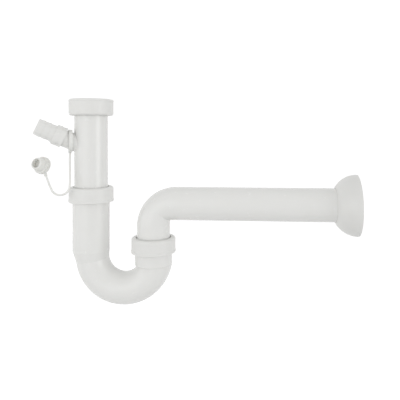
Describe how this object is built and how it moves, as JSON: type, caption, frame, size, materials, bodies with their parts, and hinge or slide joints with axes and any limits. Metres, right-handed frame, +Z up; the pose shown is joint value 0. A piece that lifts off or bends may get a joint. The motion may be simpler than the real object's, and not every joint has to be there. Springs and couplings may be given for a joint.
{
  "type": "tubular p trap",
  "caption": "Tubular P trap in white plastic: union inlet with a stepped hose spigot and tethered plug, U bend with slip nuts, and a long outlet pipe with a wall rosette.",
  "frame": {"origin": "centre of the inlet's sealing face, on top of the flat gasket inside the union nut", "axes": "+Z up the inlet pipe's axis and out of the union nut, +X along the outlet pipe towards the wall, +Y away from the side that the hose spigot is turned to"},
  "size_m": [0.3846, 0.0735, 0.2508],
  "materials": {
    "white_polypropylene": "smooth, semi-gloss injection moulded polypropylene",
    "white_polyethylene": "soft, satin polyethylene",
    "grey_rubber": "matt moulded rubber"
  },
  "bodies": {
    "inlet": {"inlet_pipe": "white_polypropylene", "inlet_flat_gasket": "grey_rubber"},
    "union_nut": {"inlet_union_nut": "white_polypropylene"},
    "long_seal": {"long_leg_cone_seal": "grey_rubber"},
    "bend": {"trap_bend": "white_polypropylene"},
    "long_ring": {"long_leg_slip_ring": "white_polyethylene"},
    "long_nut": {"long_leg_nut": "white_polypropylene"},
    "short_seal": {"short_leg_cone_seal": "grey_rubber"},
    "short_ring": {"short_leg_slip_ring": "white_polyethylene"},
    "short_nut": {"short_leg_nut": "white_polypropylene"},
    "outlet": {"outlet_pipe": "white_polypropylene"},
    "rosette": {"wall_rosette": "white_polypropylene"},
    "tether": {"tether_ring": "white_polyethylene", "tether_strap": "white_polyethylene", "spigot_plug": "white_polyethylene"}
  },
  "joints": [
    {"name": "union_nut_spin", "type": "hinge", "parent": "inlet", "child": "union_nut", "pos_m": [0, 0, 0], "axis": [0, 0, 1], "continuous": true},
    {"name": "height_adjust", "type": "slide", "parent": "inlet", "child": "long_seal", "axis": [0, 0, 1], "range_m": [-0.04, 0.008]},
    {"name": "bend_swivel", "type": "hinge", "parent": "long_seal", "child": "bend", "pos_m": [0, 0, -0.1045], "axis": [0, 0, 1], "continuous": true},
    {"name": "long_nut_lift", "type": "slide", "parent": "bend", "child": "long_ring", "axis": [0, 0, 1], "range_m": [0, 0.00693]},
    {"name": "long_nut_turn", "type": "hinge", "parent": "long_ring", "child": "long_nut", "pos_m": [0, 0, -0.1045], "axis": [0, 0, 1], "range_deg": [0, 1080]},
    {"name": "short_nut_lift", "type": "slide", "parent": "bend", "child": "short_ring", "axis": [0, 0, 1], "range_m": [0, 0.00693]},
    {"name": "short_nut_turn", "type": "hinge", "parent": "short_ring", "child": "short_nut", "pos_m": [0.078, 0, -0.1651], "axis": [0, 0, 1], "range_deg": [0, 1080]},
    {"name": "outlet_swivel", "type": "hinge", "parent": "bend", "child": "short_seal", "pos_m": [0.078, 0, -0.1651], "axis": [0, 0, 1], "range_deg": [-100, 100]},
    {"name": "outlet_lift", "type": "slide", "parent": "short_seal", "child": "outlet", "axis": [0, 0, 1], "range_m": [0, 0.012]},
    {"name": "rosette_slide", "type": "slide", "parent": "outlet", "child": "rosette", "axis": [1, 0, 0], "range_m": [-0.15, 0]},
    {"name": "tether_swivel", "type": "hinge", "parent": "inlet", "child": "tether", "pos_m": [0, 0, -0.0511], "axis": [-0.8108, -0.4131, 0.4147], "range_deg": [-5, 35]}
  ],
  "couplings": [
    {"joint": "long_nut_lift", "follows": "long_nut_turn", "m_per_rad": 0.00036749},
    {"joint": "short_nut_lift", "follows": "short_nut_turn", "m_per_rad": 0.00036749}
  ]
}
